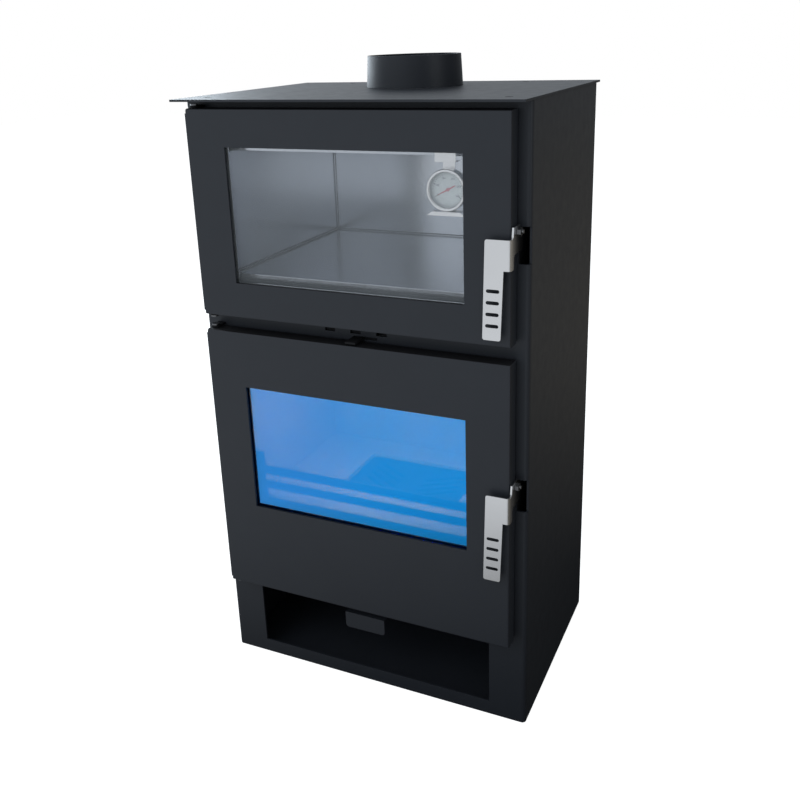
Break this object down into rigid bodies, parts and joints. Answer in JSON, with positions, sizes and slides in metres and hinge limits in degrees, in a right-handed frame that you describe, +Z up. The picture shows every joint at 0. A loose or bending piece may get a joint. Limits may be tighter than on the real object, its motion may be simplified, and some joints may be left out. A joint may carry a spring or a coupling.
{
  "type": "wood stove with oven",
  "caption": "Floor-standing sheet-steel wood stove: glazed oven door over a glazed firebox door, swinging latch handles, air slides, open base niche, flat top plate and round flue collar.",
  "frame": {"origin": "middle of the base panel's underside, on the floor", "axes": "+X to the right as seen from the front, the doors face -Y, +Z up"},
  "size_m": [0.503, 0.382, 0.9426],
  "materials": {
    "charcoal_paint": "matte heat-resistant paint",
    "black_steel": "matte blackened steel",
    "stainless": "satin stainless steel",
    "firebrick": "pressed refractory board",
    "cast_iron": "raw casting",
    "glass_fibre": "knitted glass fibre",
    "clear_glass": "clear heat-resistant glass",
    "blue_coated_glass": "glass ceramic with a blue reflecting coat",
    "dial_enamel": "pale dial with small marks",
    "red_enamel": "red enamel",
    "coil_metal": "bare two-metal strip"
  },
  "bodies": {
    "casing": {"front_panel": "charcoal_paint", "left_side_panel": "charcoal_paint", "right_side_panel": "charcoal_paint", "back_panel": "charcoal_paint", "base_panel": "charcoal_paint", "firebox_floor": "black_steel", "inner_body": "black_steel", "top_plate": "charcoal_paint", "top_plate_screw_1": "black_steel", "top_plate_screw_2": "black_steel", "top_plate_screw_3": "black_steel", "top_plate_screw_4": "black_steel", "flue_collar": "charcoal_paint", "oven_liner": "stainless", "hearth_plate": "black_steel", "firebrick_left": "firebrick", "firebrick_right": "firebrick", "firebrick_back": "firebrick", "baffle_board": "firebrick", "hearth_board": "firebrick", "fire_grate": "cast_iron", "log_guard": "cast_iron", "ash_pan": "stainless", "air_box": "black_steel", "air_wash_duct": "black_steel", "oven_hinge_tongue_top": "black_steel", "oven_hinge_tongue_bottom": "black_steel", "oven_hinge_pin_top": "stainless", "oven_hinge_pin_bottom": "stainless", "firebox_hinge_tongue_top": "black_steel", "firebox_hinge_tongue_bottom": "black_steel", "firebox_hinge_pin_top": "stainless", "firebox_hinge_pin_bottom": "stainless"},
    "oven_door": {"oven_door_panel": "charcoal_paint", "oven_glass_tape": "glass_fibre", "oven_glass": "clear_glass", "oven_glass_frame": "stainless", "oven_gasket_channel": "black_steel", "oven_rope_gasket": "glass_fibre", "oven_handle_stud": "black_steel", "oven_handle_nut": "black_steel", "thermometer_case": "stainless", "thermometer_lens": "clear_glass", "thermometer_dial": "dial_enamel", "thermometer_coil": "coil_metal", "thermometer_hanger": "stainless"},
    "oven_handle": {"oven_door_handle": "stainless"},
    "thermometer_needle": {"thermometer_needle": "red_enamel"},
    "firebox_door": {"firebox_door_panel": "charcoal_paint", "firebox_glass_tape": "glass_fibre", "firebox_glass": "blue_coated_glass", "firebox_glass_frame": "stainless", "firebox_gasket_channel": "black_steel", "firebox_rope_gasket": "glass_fibre", "firebox_handle_stud": "black_steel", "firebox_handle_nut": "black_steel"},
    "firebox_handle": {"firebox_door_handle": "stainless"},
    "primary_air": {"primary_air_slide": "charcoal_paint"},
    "secondary_air": {"secondary_air_slide": "black_steel"}
  },
  "joints": [
    {"name": "oven_door_hinge", "type": "hinge", "parent": "casing", "child": "oven_door", "pos_m": [-0.224, -0.178, 0.73875], "axis": [0, 0, -1], "range_deg": [0, 110]},
    {"name": "firebox_door_hinge", "type": "hinge", "parent": "casing", "child": "firebox_door", "pos_m": [-0.224, -0.178, 0.3575], "axis": [0, 0, -1], "range_deg": [0, 110]},
    {"name": "oven_handle_pivot", "type": "hinge", "parent": "oven_door", "child": "oven_handle", "pos_m": [0.2348, -0.177, 0.74], "axis": [-1, 0, 0], "range_deg": [0, 60]},
    {"name": "firebox_handle_pivot", "type": "hinge", "parent": "firebox_door", "child": "firebox_handle", "pos_m": [0.2348, -0.177, 0.394], "axis": [-1, 0, 0], "range_deg": [0, 60]},
    {"name": "thermometer_needle_turn", "type": "hinge", "parent": "oven_door", "child": "thermometer_needle", "pos_m": [0.1445, -0.1788, 0.786], "axis": [0, 1, 0], "range_deg": [0, 240]},
    {"name": "primary_air_pull", "type": "slide", "parent": "casing", "child": "primary_air", "axis": [0, -1, 0], "range_m": [0, 0.05]},
    {"name": "secondary_air_shift", "type": "slide", "parent": "casing", "child": "secondary_air", "axis": [1, 0, 0], "range_m": [0, 0.02]}
  ]
}
